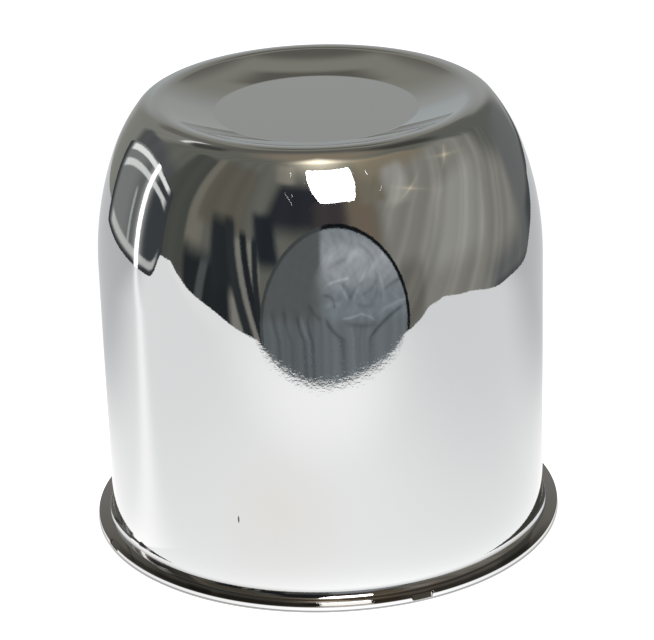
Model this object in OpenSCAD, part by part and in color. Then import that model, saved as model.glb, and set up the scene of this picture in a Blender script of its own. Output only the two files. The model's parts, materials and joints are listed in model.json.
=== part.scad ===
// Push-through center cap for a steel wheel: one deep-drawn sheet-metal shell, chrome plated.
// Origin at the centre of the flange's underside, +Z up through the domed end. Sizes in millimetres.
// The section is a chain of bends joined by straight runs. Each bend is given for the outer face of the
// sheet, and the inner face follows it at the thickness of the sheet.

/* [Sheet] */
// Thickness of the sheet everywhere
sheet_t = 1.2; // [0.8:0.1:2]

/* [Wall] */
// Outside diameter of the straight wall, which passes through the wheel's centre bore
wall_d = 81; // [60:0.5:130]
// Height from the flange's underside to the crest of the dome
overall_h = 81.3; // [50:0.1:150]

/* [Flange] */
// How far the flange stands out past the wall, to stop behind the wheel
flange_w = 2.8; // [2.6:0.1:8]
// Radius of the hollow corner between the wall and the flange's upper face
root_r = 1.3; // [0.6:0.1:1.6]
// Rounding of the two trimmed edges of the flange
rim_r = 0.25; // [0.1:0.05:0.35]

/* [Dome] */
// Radius of the long sweep that leaves the wall
shoulder_r = 58; // [42:0.5:80]
// Angle that the long sweep turns through
shoulder_a = 20.8; // [12:0.1:28]
// Radius of the middle sweep
haunch_r = 30.8; // [20:0.1:40]
// Angle that the middle sweep turns through
haunch_a = 17.4; // [10:0.1:28]
// Radius over the crest, where the sheet turns back down
crest_r = 4.8; // [3.5:0.1:6]

/* [Recess] */
// Distance in plan from the crest to the flat disc
recess_w = 10.2; // [8:0.1:14]
// Depth of the flat disc below the crest
recess_h = 2.7; // [1:0.1:4]
// Radius of the hollow corner round the flat disc
disc_fillet_r = 2; // [1:0.1:3.5]

/* [Trim marks] */
// Directions of the two places where the trimming die bevelled the flange's edge, in degrees
trim_angles = [203, 291.5];
// Length of each bevel along the edge
trim_w = 4.9; // [2:0.1:8]
// How far each bevel cuts into the flange's upper face
trim_in = 0.4; // [0.2:0.05:0.8]
// Thickness of edge left standing below each bevel
trim_lip = 0.3; // [0.1:0.05:0.5]

/* [Hidden] */
$fn = 180;
chrome = [0.78, 0.79, 0.80];

// How far the chords that stand for a bend may lie inside it
chord_gap = 0.02;

wall_r = wall_d / 2;
flange_r = wall_r + flange_w;
flange_edge = flange_r - rim_r;

// Angle from the horizontal at which the middle sweep ends and the crest begins
crest_a = shoulder_a + haunch_a;

// Where the straight wall ends, below and above
wall_foot = sheet_t + root_r;
dome_h = shoulder_r * sin(shoulder_a) + haunch_r * (sin(crest_a) - sin(shoulder_a))
       + crest_r * (1 - sin(crest_a));
wall_top = overall_h - dome_h;

// Centre of each bend, as [radius from the axis, height]. Two bends that meet have their centres on one
// line through the meeting point, so the sheet runs on smoothly from one to the next.
root_c = [wall_r + root_r, wall_foot];
shoulder_c = [wall_r - shoulder_r, wall_top];
haunch_c = shoulder_c + (shoulder_r - haunch_r) * heading(shoulder_a);
crest_c = haunch_c + (haunch_r - crest_r) * heading(crest_a);
disc_c = [crest_c[0] - recess_w, overall_h - recess_h + disc_fillet_r];

// Between the crest and the flat disc the sheet is a shallow cone, the line that touches both bends from
// opposite sides. Its slope comes from the line between their centres and the sum of their radii.
across = disc_c - crest_c;
slope_a = asin((crest_r + disc_fillet_r) / norm(across)) - atan2(across[1], -across[0]);

// Each bend from the flange to the disc: its centre, its radius on the outer face, the angles between which
// it runs, and 1 where the sheet lies inside that radius or -1 where it lies outside it.
BENDS = [
    [root_c, root_r, 270, 180, -1],
    [shoulder_c, shoulder_r, 0, shoulder_a, 1],
    [haunch_c, haunch_r, shoulder_a, crest_a, 1],
    [crest_c, crest_r, crest_a, 90 + slope_a, 1],
    [disc_c, disc_fillet_r, 270 + slope_a, 270, -1],
];

// Unit vector at an angle from the horizontal, in the plane of the section
function heading(a) = [cos(a), sin(a)];

// Points along an arc, close enough together for its chords to keep within chord_gap of it
function arc(c, r, a_from, a_to) =
    let (steps = ceil(abs(a_to - a_from) / (2 * acos(1 - chord_gap / r))))
    [for (i = [0 : steps]) c + r * heading(a_from + (a_to - a_from) * i / steps)];

// The same points without the second of each pair that coincide, where one bend runs into the next
function single(points) =
    [for (i = [0 : len(points) - 1]) if (i == 0 || norm(points[i] - points[i - 1]) > 0.001) points[i]];

function reversed(points) = [for (i = [len(points) - 1 : -1 : 0]) points[i]];

// One face of the sheet at a depth below its outer face, from the flange to the edge of the flat disc
function face(depth) = single([for (b = BENDS) each arc(b[0], b[1] - b[4] * depth, b[2], b[3])]);

// The flange's trimmed edge, from its underside to its upper face
function trimmed_edge() = single(concat(
    arc([flange_edge, rim_r], rim_r, 270, 360),
    arc([flange_edge, sheet_t - rim_r], rim_r, 0, 90)));

// Half of the shell's section: out round the flange's edge, up the outer face to the axis, and back inside
module shell_section() {
    disc_z = overall_h - recess_h;
    polygon(concat(
        trimmed_edge(),
        face(0),
        [[0, disc_z], [0, disc_z - sheet_t]],
        reversed(face(sheet_t))));
}

// One bevel of the trimming die: a block whose inner face leans in over the flange's edge
module trim_mark(angle) {
    lean = atan2(trim_in, sheet_t - trim_lip);
    rotate(angle)
        translate([flange_r, 0, trim_lip])
            rotate([0, -lean, 0])
                translate([0, -trim_w / 2, -sheet_t])
                    cube([3 * sheet_t, trim_w, 4 * sheet_t]);
}

module center_cap() {
    color(chrome)
        difference() {
            rotate_extrude() shell_section();
            for (angle = trim_angles)
                trim_mark(angle);
        }
}

center_cap();
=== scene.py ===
# %% [markdown]
# # A chrome push-through center cap
#
# The cap covers the hub in the middle of a steel wheel. It is pushed through the wheel's centre hole from
# behind, until the flange at its foot stops it. The real one is drawn from one sheet of steel, trimmed at the
# foot and chrome plated, so this lesson makes one closed shell and spends the rest on the plate and on what
# the plate mirrors. A mirror has no look of its own: it shows the room.

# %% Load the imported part
import json
import bpy
import numpy as np
from mathutils import Matrix, Vector


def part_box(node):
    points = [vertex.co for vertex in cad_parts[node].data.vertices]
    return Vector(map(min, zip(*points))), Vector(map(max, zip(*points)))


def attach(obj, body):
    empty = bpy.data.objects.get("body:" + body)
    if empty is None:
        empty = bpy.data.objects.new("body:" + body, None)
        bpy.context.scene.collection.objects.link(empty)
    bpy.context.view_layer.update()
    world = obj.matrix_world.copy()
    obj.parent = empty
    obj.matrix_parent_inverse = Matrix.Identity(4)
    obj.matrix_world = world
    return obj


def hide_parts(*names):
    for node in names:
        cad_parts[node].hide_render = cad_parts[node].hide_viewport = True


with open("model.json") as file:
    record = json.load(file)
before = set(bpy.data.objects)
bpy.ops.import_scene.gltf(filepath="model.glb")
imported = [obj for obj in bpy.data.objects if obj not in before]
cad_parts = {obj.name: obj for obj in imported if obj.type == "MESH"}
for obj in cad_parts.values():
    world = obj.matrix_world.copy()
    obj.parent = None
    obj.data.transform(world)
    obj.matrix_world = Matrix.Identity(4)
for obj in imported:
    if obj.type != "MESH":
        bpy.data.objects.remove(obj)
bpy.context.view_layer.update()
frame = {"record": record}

MM = 0.001

# %% [markdown]
# ## The camera
#
# A small hollow thing like this is looked at from close by and from a little above, so that the dome, the
# wall and the flange all show. The camera is half a metre away. It is aimed by three turns: down, sideways,
# and a slight roll, because a camera is seldom quite level. A camera looks along its own -Z with +Y up, so
# its matrix is made of three columns: right, up and backwards.

# %% Aim the camera
FRAME_WIDTH = 36.0
CAMERA_LENS = 156.64
CAMERA_AT = Vector((0.0, -482.8, 243.2)) * MM
CAMERA_DOWN = np.radians(23.09)
CAMERA_ASIDE = np.radians(0.097)
CAMERA_ROLL = np.radians(-1.748)
NEAREST_SEEN = 0.01


def aim(at, down, aside, roll):
    """The camera's matrix. Ahead is level +Y turned aside and tipped down. Right is level and up is at right
    angles to both, and the two are then rolled about ahead."""
    ahead = Vector((np.sin(aside) * np.cos(down), np.cos(aside) * np.cos(down), -np.sin(down)))
    right = ahead.cross(Vector((0, 0, 1))).normalized()
    up = right.cross(ahead)
    rolled_right = np.cos(roll) * right + np.sin(roll) * up
    rolled_up = np.cos(roll) * up - np.sin(roll) * right
    turn = Matrix((rolled_right, rolled_up, -ahead)).transposed()
    return Matrix.Translation(at) @ turn.to_4x4()


scene = bpy.context.scene
camera = bpy.data.objects.new("camera", bpy.data.cameras.new("camera"))
scene.collection.objects.link(camera)
scene.camera = camera
camera.data.sensor_width = FRAME_WIDTH
camera.data.lens = CAMERA_LENS
camera.data.clip_start = NEAREST_SEEN
camera.matrix_world = aim(CAMERA_AT, CAMERA_DOWN, CAMERA_ASIDE, CAMERA_ROLL)
print("camera is", round(CAMERA_AT.length / MM), "mm from the foot of the cap")

# %% [markdown]
# ## Small helpers
#
# Colours are written as hex, as a paint chart gives them, and the renderer wants linear light, so one
# function turns one into the other. Another adds a node with its settings and its links, and a third puts a
# grid of points into a mesh. Every surface below is such a grid.

# %% Colour and node helpers
SRGB_KNEE, SRGB_SLOPE, SRGB_LIFT, SRGB_POWER = 0.04045, 12.92, 0.055, 2.4


def linear(hex_colour):
    """Linear red, green and blue of an sRGB hex colour: the sRGB curve undone, channel by channel. The curve
    is a straight line below its knee and a power above it."""
    value = np.array([int(hex_colour[i:i + 2], 16) for i in (1, 3, 5)]) / 255
    curved = ((value + SRGB_LIFT) / (1 + SRGB_LIFT)) ** SRGB_POWER
    return np.where(value <= SRGB_KNEE, value / SRGB_SLOPE, curved)


def add_node(owner, kind, settings=None, links=None):
    """Adds a node to a material or a world. settings are values by socket or property name, and each link is
    (own input, other node, its output), where a socket is given by its name or its number."""
    node = owner.node_tree.nodes.new(kind)
    for name, value in (settings or {}).items():
        if name in node.inputs:
            node.inputs[name].default_value = value
        else:
            setattr(node, name, value)
    for own_input, source, output in links or []:
        owner.node_tree.links.new(source.outputs[output], node.inputs[own_input])
    return node


def new_material(name):
    """A material with an empty node tree."""
    material = bpy.data.materials.new(name)
    material.use_nodes = True
    material.node_tree.nodes.clear()
    return material


print("a middle grey, #808080, is", round(linear("#808080")[0], 3), "in linear light")


# %% Mesh helpers
def grid_faces(rows, columns, closed):
    """Four-sided faces of a grid whose points are numbered row by row; a closed grid joins its last column to
    its first."""
    last = columns if closed else columns - 1
    row, column = np.meshgrid(np.arange(rows - 1), np.arange(last), indexing="ij")
    here = row * columns + column
    beside = row * columns + (column + 1) % columns
    return np.stack([here, beside, beside + columns, here + columns], -1).reshape(-1, 4)


def make_object(name, points, faces, material):
    """A mesh object at the origin, with its place in its points, shaded smooth."""
    mesh = bpy.data.meshes.new(name)
    mesh.from_pydata(points.reshape(-1, 3), [], faces)
    mesh.polygons.foreach_set("use_smooth", np.ones(len(mesh.polygons), bool))
    mesh.materials.append(material)
    mesh.update()
    made = bpy.data.objects.new(name, mesh)
    scene.collection.objects.link(made)
    return made


print("a closed grid of 3 rows and 4 columns has", len(grid_faces(3, 4, True)), "faces")

# %% [markdown]
# ## The section of the sheet
#
# The press draws the cup in one piece, so its section is one line of bends that run into each other: a
# hollow corner at the flange, a straight wall, a long sweep, a tighter one, a small crest, a cone, and a
# hollow corner round the flat disc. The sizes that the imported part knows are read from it. The radii of the
# bends are driving sizes, and each bend's centre follows from the one before: two bends that touch have
# their centres on one line through the point where they meet. The cone is a little hollow, a bend of large
# radius that touches the bends on both sides of it. On the inner face a bend has its radius less, or more,
# one thickness.
#
# The flange's face leans, so that it is lowest at the rim, and its corner to the wall is a tight bend at the
# foot that opens into a wide one. Both show only in what they mirror.

# %% Sizes of the section, in millimetres
mounts = {m["name"]: m for m in frame["record"]["mounts"]}
bore_wall = mounts["wheel_bore_wall"]
wall_r = bore_wall["dims"]["r_mm"]
sheet_t = wall_r - mounts["hub_clearance"]["dims"]["r_mm"]
wall_middle = bore_wall["pos_m"][2] / MM
wall_foot = wall_middle - bore_wall["dims"]["length_mm"] / 2
wall_top = wall_middle + bore_wall["dims"]["length_mm"] / 2
node_low, node_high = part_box("center_cap")
flange_r = (node_high.x - node_low.x) / 2 / MM
overall_h = node_high.z / MM
root_r = wall_foot - sheet_t

# In these names _R is a radius, _A an angle in degrees, _W a width and _H a height.
ROOT_WIDE_R, ROOT_TIGHT_R, ROOT_MEET_A = 2.6, 0.35, 38.0
FLANGE_LEAN_A = 8.0
RIM_TOP_R, RIM_LOW_R = 0.2, 0.5
SHOULDER_R, SHOULDER_A = 58.0, 20.8
HAUNCH_R, HAUNCH_A = 30.8, 17.4
CREST_R = 4.8
RECESS_W, RECESS_H = 10.2, 2.7
DISC_FILLET_R = 2.0
CONE_R = 60.0
print("wall", round(2 * wall_r, 2), "flange", round(2 * flange_r, 2), "sheet", round(sheet_t, 2))
print("straight wall from", round(wall_foot, 2), "to", round(wall_top, 2), "of", round(overall_h, 2))


# %% Work out the bends
def heading(angle):
    """Unit vector at an angle from the horizontal, in the plane of the section."""
    return np.array([np.cos(np.radians(angle)), np.sin(np.radians(angle))])


def bearing(a, b):
    """Angle from the horizontal of the way from one point to another, from 0 to 360 degrees."""
    return np.degrees(np.arctan2(*(b - a)[::-1])) % 360


def touching(first_c, first_gap, second_c, second_gap):
    """Centre of a circle whose distances from two other centres are given: the upper one of the two."""
    across = second_c - first_c
    apart = np.hypot(*across)
    along = (first_gap ** 2 - second_gap ** 2 + apart ** 2) / (2 * apart)
    aside = np.sqrt(first_gap ** 2 - along ** 2)
    return first_c + (along * across + aside * np.array([across[1], -across[0]])) / apart


crest_a = SHOULDER_A + HAUNCH_A
disc_z = overall_h - RECESS_H
shoulder_c = np.array([wall_r - SHOULDER_R, wall_top])
haunch_c = shoulder_c + (SHOULDER_R - HAUNCH_R) * heading(SHOULDER_A)
crest_c = haunch_c + (HAUNCH_R - CREST_R) * heading(crest_a)
disc_c = np.array([crest_c[0] - RECESS_W, disc_z + DISC_FILLET_R])
cone_c = touching(crest_c, CREST_R + CONE_R, disc_c, CONE_R - DISC_FILLET_R)
crest_end = bearing(crest_c, cone_c)
disc_start = bearing(cone_c, disc_c)
BENDS = [
    # centre, radius, angle from, angle to, and 1 where the bend is rounded or -1 where it is hollow;
    # the first is the corner at the flange, and only the inner face has it in this shape
    (np.array([wall_r + root_r, wall_foot]), root_r, 270, 180, -1),
    (shoulder_c, SHOULDER_R, 0, SHOULDER_A, 1),
    (haunch_c, HAUNCH_R, SHOULDER_A, crest_a, 1),
    (crest_c, CREST_R, crest_a, crest_end, 1),
    (cone_c, CONE_R, crest_end + 180, disc_start, -1),
    (disc_c, DISC_FILLET_R, disc_start, 270, -1),
]
print("crest at", round(crest_c[1] + CREST_R, 3), "of", round(overall_h, 3))
print("the cone slopes by", round(crest_end - 90, 1), "to", round(disc_start - 270, 1), "degrees")

# %% [markdown]
# The whole section is walked from the middle of the inner face, down inside, round the flange's edge, and up
# outside to the middle of the disc. Each stretch is an arc. A straight stretch fills the way from the end of
# one arc to the start of the next, and an arc of no radius is a bare point. A stretch has its own spacing of
# rows: close together on the small bends and on the flange, far apart on the long flats.

# %% Lay the stretches end to end
# Distances between rows along the section, in millimetres; the dome's bends have one each.
ROW_GAPS = {"inner": 1.0, "rim_low": 0.05, "rim_top": 0.04, "root_tight": 0.025, "root_wide": 0.07,
            "flange": 0.08, "wall": 2.4, "disc": 1.2}
DOME_GAPS = (0.9, 0.5, 0.14, 0.5, 0.05)
# Radii nearer to each other than this count as the same, and a run shorter than the shortest isn't laid.
SAME_RADIUS = 0.3
SHORTEST_RUN = 0.001
TINY = 1e-9


def root_corner(rim_c):
    """The corner between flange and wall: a tight bend up from the flange, then a wide one into the wall.
    Both are lifted until the flange's leaning face touches the tight bend and the rounding of the rim."""
    meet = 180 + ROOT_MEET_A
    wide_c = np.array([wall_r + ROOT_WIDE_R, 0.0])
    tight_c = wide_c + (ROOT_WIDE_R - ROOT_TIGHT_R) * heading(meet)
    foot = tight_c + ROOT_TIGHT_R * heading(270 - FLANGE_LEAN_A)
    rim = rim_c + RIM_TOP_R * heading(90 - FLANGE_LEAN_A)
    rise = np.tan(np.radians(FLANGE_LEAN_A)) * (rim[0] - foot[0])
    lift = np.array([0.0, rim[1] + rise - foot[1]])
    return [(tight_c + lift, ROOT_TIGHT_R, 270 - FLANGE_LEAN_A, meet, ROW_GAPS["root_tight"]),
            (wide_c + lift, ROOT_WIDE_R, meet, 180, ROW_GAPS["root_wide"])]


def stretches():
    """(centre, radius, angle from, angle to, gap between rows) of each arc, in order round the section."""
    start = [(np.array([0.0, disc_z - sheet_t]), 0.0, 270, 270, ROW_GAPS["disc"])]
    inner = [(c, r - side * sheet_t, b, a, ROW_GAPS["inner"]) for c, r, a, b, side in reversed(BENDS)]
    rim_c = np.array([flange_r - RIM_TOP_R, sheet_t - RIM_TOP_R])
    edge = [(np.array([flange_r - RIM_LOW_R, RIM_LOW_R]), RIM_LOW_R, 270, 360, ROW_GAPS["rim_low"]),
            (rim_c, RIM_TOP_R, 0, 90 - FLANGE_LEAN_A, ROW_GAPS["rim_top"])]
    dome = [(c, r, a, b, gap) for (c, r, a, b, side), gap in zip(BENDS[1:], DOME_GAPS)]
    end = [(np.array([0.0, disc_z]), 0.0, 90, 90, ROW_GAPS["disc"])]
    return start + inner + edge + root_corner(rim_c) + dome + end


def straight_gap(p, q):
    """Distance between rows on a straight stretch: small on the flange, where the trimming die left its
    marks, and large up the wall and across the disc."""
    if min(p[0], q[0]) > wall_r + SAME_RADIUS:
        return ROW_GAPS["flange"]
    return ROW_GAPS["wall" if abs(p[0] - q[0]) < SAME_RADIUS else "disc"]


def lay_out(arcs):
    """Every run of the section as (start length, its length, arc or line, its values), the lengths at which
    the rows stand, and the length of the whole section."""
    found = []
    for n, (centre, radius, a, b, gap) in enumerate(arcs):
        found.append((np.radians(abs(b - a)) * radius, gap, "arc", (centre, radius, a, b)))
        if n + 1 < len(arcs):
            next_centre, next_radius, next_a = arcs[n + 1][:3]
            p, q = centre + radius * heading(b), next_centre + next_radius * heading(next_a)
            found.append((np.hypot(*(q - p)), straight_gap(p, q), "line", (p, q)))
    runs, rows, start = [], [], 0.0
    for length, gap, kind, values in found:
        if length > SHORTEST_RUN:
            runs.append((start, length, kind, values))
            rows.append(start + length * np.linspace(0, 1, int(np.ceil(length / gap)) + 1))
            start += length
    rows = np.concatenate(rows)
    return runs, rows[np.append(True, np.diff(rows) > TINY)], start


def section(s):
    """Radius and height after a length s of the section: even steps along a line, even turns round an arc."""
    r, z = np.zeros_like(s), np.zeros_like(s)
    for start, length, kind, values in RUNS:
        here = (s >= start - TINY) & (s <= start + length + TINY)
        share = (s[here] - start) / length
        if kind == "arc":
            centre, radius, a, b = values
            turn = np.radians(a + (b - a) * share)
            r[here] = centre[0] + radius * np.cos(turn)
            z[here] = centre[1] + radius * np.sin(turn)
        else:
            p, q = values
            r[here] = p[0] + (q[0] - p[0]) * share
            z[here] = p[1] + (q[1] - p[1]) * share
    return r, z


RUNS, ROW_AT, PATH_LENGTH = lay_out(stretches())
# The inner plate goes as far as the flange's underside, up to where the rim's lower rounding starts.
INNER_LENGTH = next(start for start, length, kind, values in RUNS if values[0][0] > wall_r + root_r)
print(len(RUNS), "runs,", len(ROW_AT), "rows,", round(PATH_LENGTH, 2), "mm round the section")

# %% [markdown]
# ## The marks of the trimming die
#
# After drawing, a die cuts the flange round. At two places it slipped and bevelled the edge, and at the end
# of the nearer bevel it pushed up a small burr. A bevel is a plane that leans in over the edge. Every point
# that lies outside the plane is pushed straight back onto it, which is what filing a flat does, and close
# to the plane the push sets in gently, so that no sharp crease is left. Towards its ends the plane is let
# out: slowly at one end, and at the other within a quarter of a millimetre, which leaves a small steep wall
# there.


# %% Soft steps and bumps
def smooth_step(low, high, x):
    """0 up to low, 1 from high on, and an even S between them, 3t^2 - 2t^3. Low may be the larger one."""
    t = np.clip((x - low) / (high - low), 0, 1)
    return t * t * (3 - 2 * t)


def bell(x, middle, width):
    """1 at the middle, falling off to both sides as the bell curve does."""
    return np.exp(-((x - middle) / width) ** 2)


def eased(x, width):
    """0 below -width, x itself above +width, and the parabola that touches both lines between them."""
    return np.where(np.abs(x) < width, (x + width) ** 2 / (4 * width), np.maximum(x, 0))


print("a quarter of the way, the soft step has risen to", round(float(smooth_step(0, 4, 1)), 3))

# %% Bevels and burr
TRIM_ANGLES = (203.0, 291.5)
TRIM_W, TRIM_IN, TRIM_LIP = 4.9, 0.62, 0.3
TRIM_EASE = 0.12
RUN_OUT_SLOW, RUN_OUT_FAST = 1.1, 0.28
LET_OUT = 1.2
BURR_ANGLE = 294.9
BURR_W, BURR_H = 0.2404, 0.3
BURR_FROM, BURR_FULL = 0.7, 0.28
BURR_FOOT = 0.4
CLEAR_OF_WALL, ABOVE_SHEET = 1.0, 0.3


def level_axes(angle):
    """Two level unit vectors at an azimuth: straight out from the axis, and along the rim."""
    return np.array([*heading(angle), 0]), np.array([*heading(angle + 90), 0])


def on_flange(points, out):
    """True for the flange's points on one side: clear of the wall, and no higher than the leaning face."""
    return (points @ out > wall_r + CLEAR_OF_WALL) & (points[..., 2] < sheet_t + ABOVE_SHEET)


def bevel(points, angle):
    """Points outside a plane that leans in over the flange's edge are pushed back onto it. How far outside a
    point is comes from its dot product with the way the plane faces, less what the plane is let out by."""
    lean = np.arctan2(TRIM_IN, sheet_t - TRIM_LIP)
    out, along = level_axes(angle)
    facing = np.cos(lean) * out + np.array([0, 0, np.sin(lean)])
    outside = points @ facing - flange_r * np.cos(lean) - TRIM_LIP * np.sin(lean)
    beside = points @ along
    slow = smooth_step(0, RUN_OUT_SLOW, -beside - TRIM_W / 2 + RUN_OUT_SLOW)
    fast = smooth_step(0, RUN_OUT_FAST, beside - TRIM_W / 2 + RUN_OUT_FAST)
    let_out = LET_OUT * sheet_t * np.maximum(slow, fast) * np.sin(lean)
    within = on_flange(points, out) & (np.abs(beside) < TRIM_W / 2)
    push = np.where(within, eased(outside - let_out, TRIM_EASE), 0)
    return points - push[..., None] * facing


def burr(points, angle):
    """A bump pushed up on the flange's upper edge, bell-shaped along it and rising towards its rim."""
    out, along = level_axes(angle)
    deep = smooth_step(flange_r - BURR_FROM, flange_r - BURR_FULL, points @ out)
    on_top = smooth_step(BURR_FOOT * sheet_t, sheet_t, points[..., 2]) * on_flange(points, out)
    lift = BURR_H * bell(points @ along, 0, BURR_W) * deep * on_top
    return points + lift[..., None] * np.array([0, 0, 1])


def cap_surface(s, azimuth):
    """The shell as a function of the length s round its section and of the azimuth, in millimetres: the
    section's radius turned round the axis, then the marks of the die."""
    r, z = section(s)
    points = np.stack([r * np.cos(azimuth), r * np.sin(azimuth), z], -1)
    for angle in TRIM_ANGLES:
        points = bevel(points, angle)
    return burr(points, BURR_ANGLE)


print("bevels at", TRIM_ANGLES, "degrees,", TRIM_W, "mm long and", TRIM_IN, "mm deep at the top")

# %% [markdown]
# ## The shell
#
# A mirror shows every error of its surface, so the normals aren't left to the mesh: at every point they come
# from the surface itself, as the cross product of a small step along the section and a small step round it.
# Columns stand closer at the two bevels. The two points on the axis close the shell with rings of triangles.

# %% Columns and normals
COLUMNS = 216
FINE_COLUMN = 0.22
FINE_HALF = 4.6
STEP_ALONG, STEP_ROUND = 1e-3, 5e-5


def column_angles():
    """Even azimuths all round, replaced by finer ones on either side of each bevel, in radians."""
    even = np.arange(COLUMNS) * 360 / COLUMNS
    near = np.zeros(COLUMNS, bool)
    fine = []
    for angle in TRIM_ANGLES:
        near |= np.abs(even - angle) < FINE_HALF
        fine.append(np.arange(angle - FINE_HALF, angle + FINE_HALF, FINE_COLUMN))
    return np.radians(np.sort(np.concatenate([even[~near], *fine])))


def surface_normals(s, azimuth):
    """Outward unit normals: the cross product of small steps round and along the surface, made one long."""
    inside = np.clip(s, STEP_ALONG, PATH_LENGTH - STEP_ALONG)
    along = cap_surface(inside + STEP_ALONG, azimuth) - cap_surface(inside - STEP_ALONG, azimuth)
    around = cap_surface(inside, azimuth + STEP_ROUND) - cap_surface(inside, azimuth - STEP_ROUND)
    normal = np.cross(around, along)
    return normal / np.linalg.norm(normal, axis=-1, keepdims=True)


print(len(column_angles()), "columns round the shell")


# %% Close the ends and make the shell
def close_poles(faces, count, columns):
    """Rings of triangles from the first and the last point to the rows next to them, then the other faces."""
    ring = np.arange(columns)
    beside = (ring + 1) % columns
    first = np.stack([np.zeros_like(ring), 1 + beside, 1 + ring], -1)
    last_row = count - 1 - columns
    last = np.stack([np.full_like(ring, count - 1), last_row + ring, last_row + beside], -1)
    return np.concatenate([first, last]).tolist() + faces.tolist()


def make_shell(plate, thin_plate):
    """One closed mesh of the sheet; its inner half has the second material."""
    angles = column_angles()
    ring = len(angles)
    s, azimuth = np.meshgrid(ROW_AT[1:-1], angles, indexing="ij")
    body = cap_surface(s, azimuth).reshape(-1, 3)
    poles = cap_surface(ROW_AT[[0, -1]], np.zeros(2))
    points = np.concatenate([poles[:1], body, poles[1:]]) * MM
    normals = np.concatenate([[[0, 0, -1]], surface_normals(s, azimuth).reshape(-1, 3), [[0, 0, 1]]])
    faces = close_poles(1 + grid_faces(*s.shape, True), len(points), ring)
    shell = make_object("center_cap_shell", points, faces, plate)
    shell.data.materials.append(thin_plate)
    inner_rows = np.sum(ROW_AT[1:-1] < INNER_LENGTH) - 1
    index = np.zeros(len(faces), np.int32)
    index[:ring] = 1
    index[2 * ring:(2 + inner_rows) * ring] = 1
    shell.data.polygons.foreach_set("material_index", index)
    shell.data.normals_split_custom_set_from_vertices(normals)
    return shell


print("the inner face and the underside take", round(INNER_LENGTH / PATH_LENGTH * 100), "% of the section")

# %% [markdown]
# ## The chrome plate
#
# Bright chrome is a metal plated a few tenths of a micrometre thick over polished nickel. It is a neutral
# mirror with a faintly cool tint and gives back about two thirds of the light. Under it the drawn steel keeps
# a very fine grain, the orange peel of stretched sheet, here a little coarser than the real one so that it
# shows. It is strongest on the straight wall, and only seen where a sharp edge is mirrored: there the line
# turns grainy. Painted shade darkens the flange's face, its corner and its bevels, and in front a deeper
# painted shade makes them darkest towards the rim. The upright edge stays bright. A cap that has been in use
# also has a nick, painted dark as the shade in its dent, and a few hairlines, where it is dull.
#
# Each coat is laid over the one below it by a mask from 0 to 1. A mask is an even ramp over a height, a depth
# or the distance from the axis, and two masks are put together by their product or by the larger of them.

# %% Values of the outer plate, in millimetres
PLATE_COLOUR = linear("#CED0D1")
# Painted shade: the flange's face, its corner and its bevels, darker than the plate.
FLANGE_SHADE_COLOUR = linear("#999593")
# A deeper painted shade on the outer half of the flange's face, in front only.
FRONT_SHADE_COLOUR = linear("#605C59")
# The nick, painted dark as the shade in its dent.
NICK_SHADE_COLOUR = linear("#4A4A48")
# Coats laid over the plate in turn: the flange's painted shade, a deeper painted shade in front, and the nick
# painted dark as the shade in its dent.
COATS = (("thin", FLANGE_SHADE_COLOUR), ("worn", FRONT_SHADE_COLOUR), ("nick", NICK_SHADE_COLOUR))
POLISHED, SCRATCHED = 0.02, 0.24
PEEL_SIZE, PEEL_HEIGHT = 0.6, 0.0062
PEEL_FULL_TO, PEEL_FADED_FROM, PEEL_FADED = 46.0, 53.0, 0.3
MASKS = {
    # name: what is measured, where the mask is 0, where it is 1
    "face": ("Z", 0.95, 1.1),
    "off_rim": ("radius", flange_r - 0.05, flange_r - 0.13),
    "bevels": ("Z", 0.3, 0.45),
    "front": ("Y", -13.0, -24.0),
    "corner": ("radius", wall_r + 0.2, wall_r + 0.8),
    "front_corner": ("radius", wall_r + 0.02, wall_r + 0.2),
    "outer_half": ("radius", wall_r + 1.5, wall_r + 2.0),
}
BLENDS = (
    # name of the new mask, how it is made, and the two masks that it is made of
    ("bevels", "MULTIPLY", "bevels", "off_rim"),
    ("upper", "MAXIMUM", "face", "bevels"),
    ("front_corner", "MULTIPLY", "front_corner", "front"),
    ("corner", "MAXIMUM", "corner", "front_corner"),
    # the next row is the painted shade on the flange's face, its corner and its bevels
    ("thin", "MULTIPLY", "upper", "corner"),
    # the next two rows are the deeper painted shade on the flange's outer half, in front only
    ("worn", "MULTIPLY", "upper", "outer_half"),
    ("worn", "MULTIPLY", "worn", "front"),
)
NICK = ((-15.8, -37.3, 15.0), (-15.8, -37.3, 16.6), 0.34)
HAIRLINES = (
    # start, end, width
    ((-5.9, -34.2, 75.7), (-4.1, -35.8, 73.0), 0.24),
    ((-4.6, -34.5, 75.4), (-4.4, -35.0, 74.7), 0.22),
    ((-4.6, -32.4, 78.7), (-4.6, -33.2, 77.6), 0.20),
    ((7.7, -31.9, 78.5), (8.5, -32.6, 77.3), 0.20),
    ((10.8, -32.8, 75.9), (10.3, -33.6, 74.9), 0.20),
)
SCRATCH_FULL = 0.7
# Numbers of a mix node's colour sockets, whose names are the same as those of its other sockets.
MIX_BELOW, MIX_ABOVE, MIX_RESULT = 6, 7, 2
print("the plate gives back", round(PLATE_COLOUR.mean(), 2), "of the light")
print("where it is worn, it gives back", round(FRONT_SHADE_COLOUR.mean(), 2))


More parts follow.
